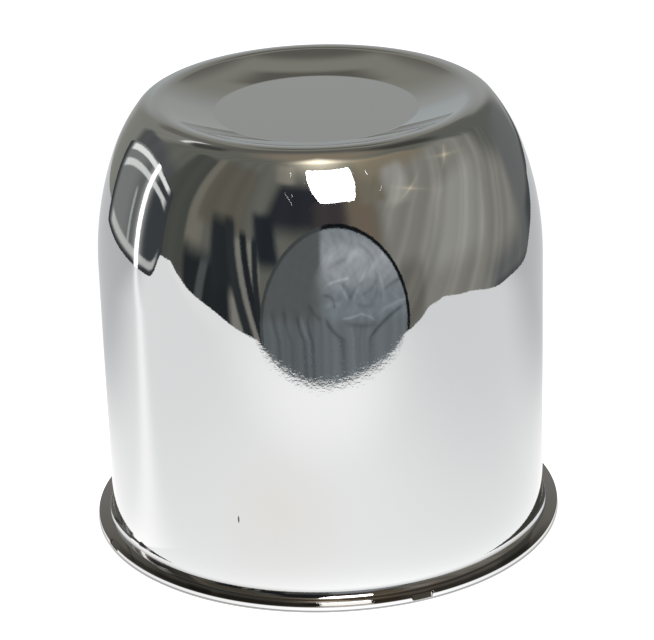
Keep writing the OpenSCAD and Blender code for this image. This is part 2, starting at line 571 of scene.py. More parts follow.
# %% Outer plate
def scratch(material, place, start, end, width):
    """1 on a thin straight line between two points, in millimetres, and 0 off it. The place is turned and
    scaled so that the line becomes a ball of radius 1."""
    start, end = Vector(start) * MM, Vector(end) * MM
    half = ((end - start).length / 2, width / 2 * MM, width / 2 * MM)
    turned = (end - start).to_track_quat("X", "Z").to_euler()
    ball = add_node(material, "ShaderNodeMapping",
                    {"vector_type": "TEXTURE", "Location": (start + end) / 2, "Rotation": turned,
                     "Scale": half}, [("Vector", place, "Object")])
    away = add_node(material, "ShaderNodeVectorMath", {"operation": "LENGTH"}, [("Vector", ball, "Vector")])
    return add_node(material, "ShaderNodeMapRange", {"From Min": 1.0, "From Max": SCRATCH_FULL},
                    [("Value", away, "Value")])


def flange_masks(material, place):
    """The ramps of MASKS and what BLENDS makes of them, by name. The distance from the axis is the length of
    the place without its height."""
    apart = add_node(material, "ShaderNodeSeparateXYZ", {}, [("Vector", place, "Object")])
    flat = add_node(material, "ShaderNodeCombineXYZ", {}, [("X", apart, "X"), ("Y", apart, "Y")])
    radius = add_node(material, "ShaderNodeVectorMath", {"operation": "LENGTH"}, [("Vector", flat, "Vector")])
    measured = {"radius": (radius, "Value"), "Y": (apart, "Y"), "Z": (apart, "Z")}
    masks = {}
    for name, (measure, low, high) in MASKS.items():
        masks[name] = add_node(material, "ShaderNodeMapRange", {"From Min": low * MM, "From Max": high * MM},
                               [("Value", *measured[measure])])
    for name, operation, first, second in BLENDS:
        masks[name] = add_node(material, "ShaderNodeMath", {"operation": operation},
                               [(0, masks[first], 0), (1, masks[second], 0)])
    return masks


def peel_bump(material, place):
    """The orange peel: a fine noise as height, at full strength up the wall and faded on the dome."""
    apart = add_node(material, "ShaderNodeSeparateXYZ", {}, [("Vector", place, "Object")])
    strength = add_node(material, "ShaderNodeMapRange",
                        {"From Min": PEEL_FULL_TO * MM, "From Max": PEEL_FADED_FROM * MM, "To Min": 1.0,
                         "To Max": PEEL_FADED}, [("Value", apart, "Z")])
    peel = add_node(material, "ShaderNodeTexNoise",
                    {"Scale": 1 / (PEEL_SIZE * MM), "Detail": 3.0, "Roughness": 0.6},
                    [("Vector", place, "Object")])
    return add_node(material, "ShaderNodeBump", {"Distance": PEEL_HEIGHT * MM},
                    [("Height", peel, "Fac"), ("Strength", strength, "Result")])


def outer_plate():
    """Mirror-bright chrome plate on polished sheet steel, with painted shade on the flange and in the nick,
    scratched by use.
    """
    material = new_material("bright_chrome_plate")
    place = add_node(material, "ShaderNodeTexCoord")
    masks = flange_masks(material, place)
    # the nick's mask carries its painted shade
    masks["nick"] = scratch(material, place, *NICK)
    sound = add_node(material, "ShaderNodeRGB")
    sound.outputs[0].default_value = (*PLATE_COLOUR, 1)
    colour = (sound, 0)
    for name, coat in COATS:
        layer = add_node(material, "ShaderNodeMix", {"data_type": "RGBA"},
                         [("Factor", masks[name], 0), (MIX_BELOW, *colour)])
        layer.inputs[MIX_ABOVE].default_value = (*coat, 1)
        colour = (layer, MIX_RESULT)
    dull = scratch(material, place, *HAIRLINES[0])
    for line in HAIRLINES[1:]:
        dull = add_node(material, "ShaderNodeMath", {"operation": "MAXIMUM"},
                        [(0, dull, 0), (1, scratch(material, place, *line), 0)])
    gloss = add_node(material, "ShaderNodeMapRange", {"To Min": POLISHED, "To Max": SCRATCHED},
                     [("Value", dull, 0)])
    bump = peel_bump(material, place)
    plate = add_node(material, "ShaderNodeBsdfPrincipled", {"Metallic": 1.0},
                     [("Base Color", *colour), ("Roughness", gloss, "Result"), ("Normal", bump, "Normal")])
    add_node(material, "ShaderNodeOutputMaterial", {}, [("Surface", plate, "BSDF")])
    return material


# %% [markdown]
# Inside, nobody polishes the steel and the plating current hardly reaches, so the plate is thin, greyish and
# dull. The punch left draw lines that run up the wall, here as coarse as they need to be to show. They are
# one noise stretched along Z: read on Object coordinates, it has no seam round the wall and turns into an
# even grain on the flat disc.

# %% Inner plate
DRAW_LINE, DRAW_LENGTH, DRAW_HEIGHT = 0.5, 30.0, 0.006
CLOUD_SIZE = 14.0
CLOUD_TONES = ((0.3, "#A9A9A6"), (0.7, "#BDBDBA"))
INNER_GLOSS_LOW, INNER_GLOSS_HIGH = 0.2, 0.36


def inner_plate():
    """Thin, dull chrome over unpolished drawn steel: clouds of two greys, lines in its gloss and height."""
    material = new_material("dull_chrome_plate_inside")
    place = add_node(material, "ShaderNodeTexCoord")
    stretch = add_node(material, "ShaderNodeMapping", {"Scale": (1, 1, DRAW_LINE / DRAW_LENGTH)},
                       [("Vector", place, "Object")])
    lines = add_node(material, "ShaderNodeTexNoise", {"Scale": 1 / (DRAW_LINE * MM), "Detail": 3.0},
                     [("Vector", stretch, "Vector")])
    cloud = add_node(material, "ShaderNodeTexNoise", {"Scale": 1 / (CLOUD_SIZE * MM), "Detail": 4.0},
                     [("Vector", place, "Object")])
    tone = add_node(material, "ShaderNodeValToRGB", {}, [("Fac", cloud, "Fac")])
    for stop, (position, hex_colour) in zip(tone.color_ramp.elements, CLOUD_TONES):
        stop.position = position
        stop.color = (*linear(hex_colour), 1)
    gloss = add_node(material, "ShaderNodeMapRange", {"To Min": INNER_GLOSS_LOW, "To Max": INNER_GLOSS_HIGH},
                     [("Value", lines, "Fac")])
    bump = add_node(material, "ShaderNodeBump", {"Strength": 0.5, "Distance": DRAW_HEIGHT * MM},
                    [("Height", lines, "Fac")])
    plate = add_node(material, "ShaderNodeBsdfPrincipled", {"Metallic": 1.0},
                     [("Base Color", tone, "Color"), ("Roughness", gloss, "Result"),
                      ("Normal", bump, "Normal")])
    add_node(material, "ShaderNodeOutputMaterial", {}, [("Surface", plate, "BSDF")])
    return material


# %% Put the shell in the frame
shell = make_shell(outer_plate(), inner_plate())
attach(shell, "root")
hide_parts("center_cap")
triangles = sum(len(p.vertices) - 2 for p in shell.data.polygons)
print("shell has", len(shell.data.vertices), "points and", triangles, "triangles")

# %% [markdown]
# ## The studio
#
# What the plate mirrors is a plain studio: a pale floor sheet, grey drapes, a round panel of grey cloth, a
# square softbox above the camera and a warm lamp near the ceiling. Each is a stage card that glows by itself,
# with the radiance of each point worked out by a formula, so the light is soft, and no sample is lost to
# noise. The camera doesn't see the cards. It sees the floor and a white background. A card's tone is written
# as the plate shows it, and dividing by the plate's own colour gives the radiance.

# %% Tones and soft windows
CARD_CENTRE = np.array([0.0, -20.0, 60.0])


def seen_in_plate(hex_colour):
    """Radiance that the plate mirrors as this colour when it is looked at straight."""
    return linear(hex_colour) / PLATE_COLOUR


def mix(below, above, share):
    """Lays one radiance over another by its share, from 0 to 1."""
    return below + (above - below) * np.asarray(share)[..., None]


def lay(tone, hex_colour, share):
    """Lays a colour, as the plate shows it, over a radiance by its share, from 0 to 1."""
    return mix(tone, seen_in_plate(hex_colour), share)


def direction(azimuth, elevation):
    """Unit vectors: azimuth in degrees from the camera's side to the right, elevation above the horizon."""
    a, e = np.radians(azimuth), np.radians(elevation)
    return np.stack([np.sin(a) * np.cos(e), -np.cos(a) * np.cos(e), np.sin(e)], -1)


def window(x, low, high, soft):
    """1 between low and high, falling smoothly to 0 over the soft width at either side."""
    return smooth_step(low - soft, low, x) * (1 - smooth_step(high, high + soft, x))


def round_window(azimuth, middle, half, soft):
    """The same as window, for azimuths, which wrap round at 180 degrees."""
    apart = np.abs((azimuth - middle + 180) % 360 - 180)
    return 1 - smooth_step(half, half + soft, apart)


print("white in the plate takes a radiance of", seen_in_plate("#FFFFFF").round(2))


# %% Glowing stage cards
def glow_material(name, to_camera):
    """Light given off as the mesh's own radiance attribute says. A card that the camera sees too is brighter
    to it by the factor to_camera, as overexposed white is, and is clear from behind."""
    material = new_material(name)
    radiance = add_node(material, "ShaderNodeAttribute", {"attribute_name": "radiance"})
    glow = add_node(material, "ShaderNodeEmission", {}, [("Color", radiance, "Color")])
    shown = (glow, "Emission")
    if to_camera:
        ray = add_node(material, "ShaderNodeLightPath")
        strength = add_node(material, "ShaderNodeMapRange", {"To Min": 1.0, "To Max": to_camera},
                            [("Value", ray, "Is Camera Ray")])
        material.node_tree.links.new(strength.outputs["Result"], glow.inputs["Strength"])
        side = add_node(material, "ShaderNodeNewGeometry")
        clear = add_node(material, "ShaderNodeBsdfTransparent")
        one_sided = add_node(material, "ShaderNodeMixShader", {},
                             [("Fac", side, "Backfacing"), (1, glow, "Emission"), (2, clear, "BSDF")])
        shown = (one_sided, "Shader")
    add_node(material, "ShaderNodeOutputMaterial", {}, [("Surface", *shown)])
    material.cycles.emission_sampling = "NONE"
    return material


def stage_card(name, points, radiance, to_camera=0):
    """A grid of points in millimetres that glows with the radiance given at each point."""
    faces = grid_faces(*points.shape[:2], False).tolist()
    card = make_object(name, points * MM, faces, glow_material(name, to_camera))
    colour = card.data.color_attributes.new("radiance", "FLOAT_COLOR", "POINT")
    values = np.ones((len(card.data.vertices), 4), np.float32)
    values[:, :3] = radiance.reshape(-1, 3)
    colour.data.foreach_set("color", values.ravel())
    card.visible_camera = to_camera > 0
    card.visible_shadow = False
    print("card", name, "has", len(faces), "faces and glows up to", round(float(radiance.max()), 2))
    return card


# %% [markdown]
# The floor sheet lies under the cap and ends a little way in front of it, which gives the dark arch in the
# wall. It is brightest in front, under the softbox, and dims towards the back and the sides. Close to the
# flange it also catches light thrown back by the wall, and right at it lies the cap's own shade. Its mesh
# is a ring: rows run from a hole under the cap out to the edges of the sheet, close together at first, so
# the shade is drawn finely. The hole and the clear underside let the inside of the cap be seen from below.

# %% Tone of the floor, with places in millimetres
FLOOR_TONE = "#E2E3E3"
FRONT_TONE, FRONT_FROM, FRONT_FULL = "#ECEDEC", -85, -125
SIDE_TONE, SIDE_FROM, SIDE_FULL, LEFT_SHARE = "#CBCDCE", 10, 130, 0.55
BACK_TONE, BACK_FROM, BACK_FULL = "#AAACAE", 0, 80
BEAM_TONE, BEAM_SHARE, BEAM_WIDTH = "#F4F4F4", 0.8, 7.0
BEAM_FROM, BEAM_TO = np.array([-450.0, 105.0]), np.array([-40.0, -20.0])
WARM_PATCH_TONE, WARM_PATCH_SHARE = "#DDDAD4", 0.5
WARM_PATCH_X, WARM_PATCH_Y, WARM_PATCH_WIDE, WARM_PATCH_DEEP = -24, -72, 26, 22
THROWN_WIDTH, THROWN_ROUND, THROWN_FRONT = 5.0, 0.14, 0.34
THROWN_X, THROWN_WIDE, THROWN_FADE = 6, 24, 20
SHADE_DEPTH, SHADE_WIDTH = 0.8, 0.28


def floor_tone(x, y):
    """Radiance of the floor: soft steps of tone to the front, the sides and the back, crossed by the faint
    beam of the strip lamp, and a faint warm darker patch. The light thrown by the cap and its shade die away
    exponentially with the distance from the flange."""
    right, left = smooth_step(SIDE_FROM, SIDE_FULL, x), smooth_step(SIDE_FROM, SIDE_FULL, -x)
    run = (BEAM_TO - BEAM_FROM) / np.hypot(*(BEAM_TO - BEAM_FROM))
    off_beam = (x - BEAM_FROM[0]) * run[1] - (y - BEAM_FROM[1]) * run[0]
    tone = lay(seen_in_plate(FLOOR_TONE), FRONT_TONE, smooth_step(FRONT_FROM, FRONT_FULL, y))
    tone = lay(tone, SIDE_TONE, np.maximum(right, LEFT_SHARE * left))
    tone = lay(tone, BACK_TONE, smooth_step(BACK_FROM, BACK_FULL, y))
    tone = lay(tone, BEAM_TONE, BEAM_SHARE * bell(off_beam, 0, BEAM_WIDTH) * (x < BEAM_TO[0]))
    tone = lay(tone, WARM_PATCH_TONE, WARM_PATCH_SHARE * bell(x, WARM_PATCH_X, WARM_PATCH_WIDE) * bell(y, WARM_PATCH_Y, WARM_PATCH_DEEP))
    off_flange = np.maximum(np.hypot(x, y) - flange_r, 0)
    thrown = THROWN_ROUND + THROWN_FRONT * bell(x, THROWN_X, THROWN_WIDE)
    thrown = thrown * smooth_step(THROWN_FADE, -THROWN_FADE, y) * np.exp(-off_flange / THROWN_WIDTH)
    shade = 1 - SHADE_DEPTH * np.exp(-off_flange / SHADE_WIDTH)
    return tone * ((1 + thrown) * shade)[..., None]


print("beside the flange the floor keeps", round(1 - SHADE_DEPTH, 2), "of its light")

# %% Edges of the floor, in millimetres
FLOOR_LEFT, FLOOR_RIGHT, FLOOR_FRONT, FLOOR_BACK = -700.0, 190.0, -134.0, 260.0
FRONT_WAVES = (
    # rise, place, width
    (9, 90, 40),
    (-14, -190, 80),
    (-10, 172, 26),
)
RIGHT_STEP, RIGHT_STEP_FROM, RIGHT_STEP_TO = 26, 10, -70
RIGHT_DIP, RIGHT_DIP_AT, RIGHT_DIP_WIDTH = 16, 88, 35
REACH_GUESS, REACH_TRIES = 150.0, 40


def front_edge(x):
    """The front edge isn't quite straight: a line with three shallow bell-shaped waves."""
    return FLOOR_FRONT + sum(rise * bell(x, at, width) for rise, at, width in FRONT_WAVES)


def right_edge(y):
    """The right edge is further out in front than beside the cap, and dips inwards once behind it."""
    step = RIGHT_STEP * smooth_step(RIGHT_STEP_FROM, RIGHT_STEP_TO, y)
    return FLOOR_RIGHT + step - RIGHT_DIP * bell(y, RIGHT_DIP_AT, RIGHT_DIP_WIDTH)


def reach_of_floor(away):
    """How far the floor goes in each direction: a guess, moved half the way to the edge that is found there,
    again and again."""
    reach = np.full(len(away), REACH_GUESS)
    for _ in range(REACH_TRIES):
        x, y = (reach[:, None] * away).T
        side = np.where(away[:, 0] > 0, right_edge(y), -FLOOR_LEFT)
        end = np.where(away[:, 1] > 0, FLOOR_BACK, -front_edge(x))
        found = np.stack([side, end], -1) / np.maximum(np.abs(away), TINY)
        reach = (reach + found.min(-1)) / 2
    return reach


print("floor sheet", round(right_edge(0) - FLOOR_LEFT), "by", round(FLOOR_BACK - front_edge(0)), "mm")

# %% Floor
FLOOR_TO_CAMERA = 1.6
HOLE_R = 39.0
FINE_MARGIN = 3.0
FLOOR_TURNS, FINE_ROWS, FAR_ROWS = 721, 80, 60


def make_floor():
    """A ring of points between a round hole and the sheet's edges; past the fine rows round the flange, the
    rows spread out as the square of their number."""
    turn = np.radians(np.linspace(0, 360, FLOOR_TURNS))
    away = np.stack([np.cos(turn), np.sin(turn)], -1)
    edge = reach_of_floor(away)
    near = np.linspace(HOLE_R, flange_r + FINE_MARGIN, FINE_ROWS)
    share = np.linspace(0, 1, FAR_ROWS)[1:] ** 2
    r = np.concatenate([np.tile(near[:, None], (1, len(turn))),
                        near[-1] + (edge[None, :] - near[-1]) * share[:, None]])
    points = np.stack([r * away[:, 0], r * away[:, 1], np.zeros_like(r)], -1)
    floor = stage_card("floor_sheet", points, floor_tone(points[..., 0], points[..., 1]), FLOOR_TO_CAMERA)
    if floor.data.polygons[0].normal.z < 0:
        floor.data.flip_normals()


make_floor()

# %% [markdown]
# The drapes hang all round, so one large sphere stands for them and for the ceiling. Its tone is built up
# as a painter would: a base grey, then one soft patch over another, each with its range of azimuth and
# elevation. Folds are slow waves of painted shade and light that lean a little, because the cloth hangs from
# a few points.

# %% Patches of tone on the drapes, in degrees
BASE_TONE = "#5C5D57"
LEAN_ABOUT = 15
PATCHES = [
    # middle azimuth, half width, softness; lowest and highest elevation, softness; lean; tone in the plate
    (-152, 26, 12, -30, 40, 12, 0, "#74756F"),
    (143, 15, 14, -30, 40, 12, 0, "#5F6161"),
    (178, 15, 15, 0, 51, 5, 0, "#76766F"),
    (180, 14, 13, -30, 16, 18, 0, "#8B8D8C"),
    (-157, 6, 5, 33, 50, 6, 0, "#5F5E58"),
    (157, 6, 5, 33, 50, 6, 0, "#5B5A55"),
    (179, 5, 6, 38, 43, 3, 0, "#55534D"),
    (180, 32, 20, 56, 64, 7, 0, "#55544E"),
    (-174, 3, 6, 4, 12, 6, 0, "#909697"),
    (-128, 9, 6, 49, 57, 5, 0, "#3E3F3C"),
    (-112, 20, 8, -30, 20, 8, 0, "#4C4E50"),
    (-82, 11, 5, -6, 40, 4, 0.2, "#454743"),
    (-69, 4, 2.5, 6, 42, 6, 0, "#69675E"),
    (-55, 12, 4, 14, 44, 5, 0, "#57554C"),
    (-40, 8, 2, -30, 9, 3, 0, "#74736D"),
    (-60, 11.5, 4, -30, -2, 8, 0, "#212527"),
    (-56, 1.2, 2, -30, -2, 5, 0.3, "#4A4D4D"),
    (-53, 4.5, 4.5, -4, 12, 7, -0.15, "#24282B"),
    (-49.5, 1.6, 1.6, -30, 14, 4, -0.32, "#2A2D2F"),
    (-42, 1.2, 1.2, -30, 11, 4, -0.30, "#1F2326"),
    (-35, 1.0, 1.0, -30, 10, 4, -0.12, "#24282B"),
    (-16, 11, 8, 20, 38, 9, 0.2, "#26282D"),
    (-30, 3.5, 4.5, 6, 18, 7, -0.3, "#22262B"),
    (-14, 3, 7, 45, 52, 4, -0.3, "#77736A"),
    (7, 7, 7, 14, 30, 3, 0, "#393536"),
    (24, 3, 10, 10, 44, 9, 0, "#665D50"),
    (78, 40, 9, -30, 42, 16, 0, "#787771"),
    (33, 5, 6, 30, 47, 6, 0, "#6B665A"),
    (58, 24, 10, 46, 58, 8, 0, "#776F60"),
    (44, 3.5, 8, 26, 43, 6, 0.3, "#8B8A84"),
    (84, 13, 9, 0, 18, 10, 0.5, "#898983"),
    (134, 13, 13, 16, 50, 12, 0, "#575954"),
    (140, 10, 14, 54, 66, 8, 0, "#3D3C38"),
    (46, 4, 5, -30, -3, 8, 0, "#63625C"),
    (114, 12, 16, -26, -15, 8, 0, "#5A5C5C"),
    (118, 12, 14, -26, -18.5, 2.5, 0, "#3E4042"),
    (150, 12, 10, -18, -12, 2.5, 0, "#3E4042"),
]


def patch_share(azimuth, elevation, middle, half, soft, low, high, fade, lean):
    """How much of a patch shows: a soft-edged window whose sides lean by degrees of azimuth per degree up."""
    leaning = azimuth - lean * (elevation - LEAN_ABOUT)
    return round_window(leaning, middle, half, soft) * window(elevation, low, high, fade)


print(len(PATCHES), "patches on a base of", BASE_TONE)

# %% Folds of the drapes, in degrees
FOLD_LEAN = 0.8
FOLDS = (
    # strength, shift, degrees to a radian of the wave
    (1.0, -62.5442, 2.2),
    (0.6, 2.59, 3.7),
    (0.3, 0.0, 1.1),
)
FOLD_EDGES = (
    # shift, degrees to a radian of the wave, sharpness
    (3.0, 2.9, 6),
    (9.0, 4.3, 8),
)
FOLD_DEPTH, EDGE_DEPTH = 0.06, 0.13
GATHERED = (80, 40, 12, -30, 30, 20, 0)
UPRIGHT_DEPTH, UPRIGHT_WAVE, UPRIGHT_SWAY, SWAY_WAVE = 0.05, 1.9, 0.8, 7
UPRIGHT_MIDDLE, UPRIGHT_HALF, UPRIGHT_SOFT = -60, 70, 20


def fold_light_and_shade(azimuth, elevation):
    """The factor by which the painted light and shade of folds change the tone. On the right they are sine
    waves over a leaning azimuth, with sharp painted highlights at their edges, the upper halves of sine waves
    raised to a power. On the left they are upright waves whose spacing sways."""
    leaning = azimuth - FOLD_LEAN * elevation
    waves = sum(strength * np.sin((leaning + shift) / length) for strength, shift, length in FOLDS)
    edges = sum(np.maximum(np.sin((leaning + shift) / length), 0) ** power
                for shift, length, power in FOLD_EDGES)
    gathered = patch_share(azimuth, elevation, *GATHERED)
    sway = UPRIGHT_SWAY * np.sin(azimuth / SWAY_WAVE)
    upright = np.sin(azimuth / UPRIGHT_WAVE + sway)
    upright = upright * round_window(azimuth, UPRIGHT_MIDDLE, UPRIGHT_HALF, UPRIGHT_SOFT)
    return (1 + (FOLD_DEPTH * waves + EDGE_DEPTH * edges) * gathered) * (1 + UPRIGHT_DEPTH * upright)


print("folds lie", round(2 * np.pi * FOLDS[0][2], 1), "degrees apart on the right")

# %% Lamps among the drapes, in degrees
LAMP_TONE, LAMP_GLOW, LAMP_EDGE = "#FFF3DA", 1.3, 1.9
LAMP_AZ, LAMP_EL, LAMP_WIDE, LAMP_HIGH = 1, 67.5, 19, 11.5
HALO_TONE, HALO_GLOW = "#E8D3A4", 0.16
HALO_AZ, HALO_EL, HALO_WIDE, HALO_HIGH = 22, 62, 36, 9
TUBE_TONE, TUBE_SHARE, TUBE_SLOPE, TUBE_WIDTH = "#DCDDDA", 0.9, 0.26, 1.7
TUBE_AZ, TUBE_EL, TUBE_HALF, TUBE_SOFT = -138, 45.8, 8, 5
STAR_TONE, STAR_SLOPE, STAR_THIN, STAR_LONG = "#E9D9B0", 0.5, 0.7, 4.5
STARS = (
    # azimuth, elevation, strength
    (56, 28.5, 0.28),
    (90, 32, 0.30),
)


def tube_share(azimuth, elevation):
    """A thin sloping line, bell-shaped across and cut off softly at its ends."""
    across = elevation + TUBE_SLOPE * (azimuth - TUBE_AZ)
    ends = round_window(azimuth, TUBE_AZ, TUBE_HALF, TUBE_SOFT)
    return TUBE_SHARE * bell(across, TUBE_EL, TUBE_WIDTH) * ends


def lamp_glow(azimuth, elevation):
    """Radiance added by a warm oval lamp, by the wide faint halo beside it, and by small stars. A star is two
    thin crossed rays that die away exponentially, slowly along the ray and quickly across it."""
    oval = np.exp(-(np.abs(azimuth - LAMP_AZ) / LAMP_WIDE) ** LAMP_EDGE) * bell(elevation, LAMP_EL, LAMP_HIGH)
    halo = bell(azimuth, HALO_AZ, HALO_WIDE) * bell(elevation, HALO_EL, HALO_HIGH)
    stars = np.zeros_like(azimuth)
    for star_az, star_el, strength in STARS:
        aside, above = STAR_SLOPE * (azimuth - star_az), elevation - star_el
        rising, falling = np.abs(aside + above), np.abs(aside - above)
        stars += strength * np.exp(-rising / STAR_THIN - falling / STAR_LONG)
        stars += strength * np.exp(-rising / STAR_LONG - falling / STAR_THIN)
    parts = ((LAMP_GLOW * oval, LAMP_TONE), (HALO_GLOW * halo, HALO_TONE), (stars, STAR_TONE))
    return sum(glow[..., None] * seen_in_plate(hex_colour) for glow, hex_colour in parts)


print("the lamp hangs", LAMP_EL, "degrees up, and", len(STARS), "small ones lower down")

# %% Drapes
DRAPES_DISTANCE = 2200.0
DRAPES_GRID = (721, 361)
NEARLY_UPRIGHT = 89.9
CEILING_TONE, CEILING_FROM, CEILING_FULL = "#7A7163", 62, 82
BELOW_TONE, BELOW_FROM, BELOW_FULL = "#B4B4B2", -32, -45


def drape_tone(azimuth, elevation):
    """Radiance of the drapes: patches of tone laid over a base grey, then the painted light and shade of the
    folds, the ceiling, the lamps and the pale ground far below."""
    tone = np.ones(azimuth.shape + (3,)) * seen_in_plate(BASE_TONE)
    for *place, hex_colour in PATCHES:
        tone = lay(tone, hex_colour, patch_share(azimuth, elevation, *place))
    tone = tone * fold_light_and_shade(azimuth, elevation)[..., None]
    tone = lay(tone, CEILING_TONE, smooth_step(CEILING_FROM, CEILING_FULL, elevation))
    tone = lay(tone, TUBE_TONE, tube_share(azimuth, elevation)) + lamp_glow(azimuth, elevation)
    return lay(tone, BELOW_TONE, smooth_step(BELOW_FROM, BELOW_FULL, elevation))


def make_drapes():
    """A sphere round the cap, as a grid of azimuth and elevation."""
    turns = np.linspace(-180, 180, DRAPES_GRID[0])
    heights = np.linspace(-NEARLY_UPRIGHT, NEARLY_UPRIGHT, DRAPES_GRID[1])
    azimuth, elevation = np.meshgrid(turns, heights, indexing="ij")
    points = CARD_CENTRE + DRAPES_DISTANCE * direction(azimuth, elevation)
    stage_card("grey_drapes", points, drape_tone(azimuth, elevation))


make_drapes()

# %% [markdown]
# The round panel of grey cloth leans behind the floor's front edge. Its right half is lit and crumpled: each
# crease is drawn as a bent line with a soft edge, a painted highlight where it is brighter than the cloth and
# a painted shade where it is darker, among shallow dents painted in light and shade. Its left half lies in
# shade, and at the bottom the cloth hangs in fine folds, painted as waves of light and shade.

# %% Creases of the cloth, in degrees
CREASE_STRENGTH = 1.4
CREASE_FROM, CREASE_TO, CREASE_FADE = 0.15, 0.85, 0.3
DENTS = (
    # depth; then for each of the two waves: wave, sway, across, along, which wandering() explains
    (0.09, (1.3, 2.0, 2.9, 9), (1.6, 1.8, 3.7, -7)),
    (0.05, (0.7, 2.2, 1.9, -5), (0.8, 1.7, 2.3, 3)),
)
CREASES = [
    # from azimuth and elevation, to azimuth and elevation; how far its middle bends aside; width; strength
    (3, -2.5, 13.5, -0.8, 0.3, 0.5, 0.30),
    (10, -2.5, 14, -8.3, 0.5, 1.0, -0.18),
    (8.8, -3, 12.6, -9, 0.2, 0.6, 0.18),
    (14, -8.3, 21, -2.5, 0.9, 0.9, -0.20),
    (15.5, -8.3, 21.5, 0, 0.4, 0.8, 0.15),
    (19.5, -7.5, 27, -3, -0.8, 0.8, -0.15),
    (0.5, -6.5, 6, -12, 2.2, 0.8, -0.25),
    (10, -15.4, 18.5, -14.2, -0.4, 0.45, 0.35),
    (18.5, -14.2, 26, -17, 0.4, 0.5, 0.28),
    (11, -17, 26, -18.5, -0.8, 1.0, -0.16),
    (1.5, -15.4, 11, -24, -1.0, 0.9, -0.28),
    (23, -24, 40, -13.5, 1.2, 0.8, -0.34),
    (30, -13.7, 42, -11.2, 0.3, 0.7, 0.22),
    (31, -6.8, 40, -3.8, 0.5, 0.8, -0.22),
    (13, 5, 22, 8.8, 0.8, 1.8, 0.16),
    (2, 6, 12, 11, 0.8, 1.6, 0.10),
    (4, 3.5, 14, 6, 0.6, 0.9, -0.12),
    (20, 10.5, 27, 4, 0.8, 1.0, -0.14),
    (24, 1, 34, 6, 0.8, 0.9, 0.12),
    (27, 1, 26, -10, 1.0, 1.0, -0.15),
    (29, -1, 30.5, -11, 0.5, 0.7, 0.14),
    (17, -10.5, 25, -11.5, -0.6, 0.9, -0.15),
    (2, -11, 9, -10, 0.8, 0.8, 0.14),
    (14, -19, 15.5, -26, 0.2, 0.6, 0.14),
    (19, -18, 18, -26, 0.2, 0.8, -0.14),
    (-12.5, -14.5, -8, -26, -0.8, 0.8, -0.24),
    (-10.5, -14, -5.5, -26, -0.8, 0.6, 0.18),
    (-7.5, -15, -4, -26, -0.8, 0.7, -0.22),
    (-6.5, -10, -1, -15.5, -0.5, 0.8, -0.18),
    (-25, -13, -21, -26, -0.6, 0.9, -0.15),
    (-19, -12, -15, -26, -0.6, 1.0, -0.15),
]


def crease(azimuth, elevation, start_az, start_el, end_az, end_el, bend, width):
    """How near a point lies to a bent line: 1 on it, less to its sides as a bell curve, less at its ends."""
    run = np.array([end_az - start_az, end_el - start_el])
    length = np.hypot(*run)
    run = run / length
    along = ((azimuth - start_az) * run[0] + (elevation - start_el) * run[1]) / length
    aside = (elevation - start_el) * run[0] - (azimuth - start_az) * run[1]
    bent = 4 * bend * along * (1 - along)
    return bell(aside, bent, width) * window(along, CREASE_FROM, CREASE_TO, CREASE_FADE)


def crease_light_and_shade(azimuth, elevation):
    """Painted light and shade of the crumpled cloth: every crease's own strength where it runs, a painted
    highlight above 0, a painted shade below.
    """
    tone = np.zeros_like(azimuth)
    for *line, strength in CREASES:
        tone += CREASE_STRENGTH * strength * crease(azimuth, elevation, *line)
    return tone


def wandering(x, y, wave, sway, across, along):
    """A sine wave along x whose lines wander: a second, slower sine over y and x is added to its angle. The
    lengths are in degrees to a radian of the wave, and sway is how far the lines wander, in radians."""
    return np.sin(x / wave + sway * np.sin(y / across + x / along))


def dents(azimuth, elevation):
    """Painted light and shade of shallow dents all over the cloth: the product of two wandering waves that
    cross, coarse then fine.
    """
    return sum(depth * wandering(azimuth, elevation, *first) * wandering(elevation, azimuth, *second)
               for depth, first, second in DENTS)


print(len(CREASES), "creases in the cloth")

# %% Cloth panel, in degrees
PANEL_DISTANCE = 1200.0
PANEL_GRID = (241, 721)
PANEL_MIDDLE, PANEL_REACH = (6.5, -22.0), (38.0, 41.0)
CLOTH_SHADED, CLOTH_LIT, CLOTH_LIT_HIGH = "#525555", "#6F767B", "#8D9296"
FOOT_TONE, FOOT_SHARE, FOOT_FROM, FOOT_FULL = "#5C6266", 0.7, -13, -19
EDGE_SOFT_LOW, EDGE_SOFT_MORE, EDGE_SOFT_FROM, EDGE_SOFT_FULL = 1.8, 4.5, 6, -2
HIGH_FROM, HIGH_FULL, TOP_FROM, TOP_FULL, TOP_LOSS = -9, 3, 7, 16, 0.7
DENTS_SHADED, DENTS_FROM, DENTS_FULL = 0.25, -17, -11
HANGING_DEPTH, HANGING_FROM, HANGING_FULL = 0.07, -8, -16
HANGING_WAVE, HANGING_SWAY, SWAY_LENGTH = 0.9, 1.4, 3.3
HANGING_BEND, BEND_UP, BEND_ASIDE = 0.5, 2.6, 5
RIM_TONE, RIM_FROM, RIM_FULL, RIM_SHADED = "#121517", 0.955, 0.967, 0.45


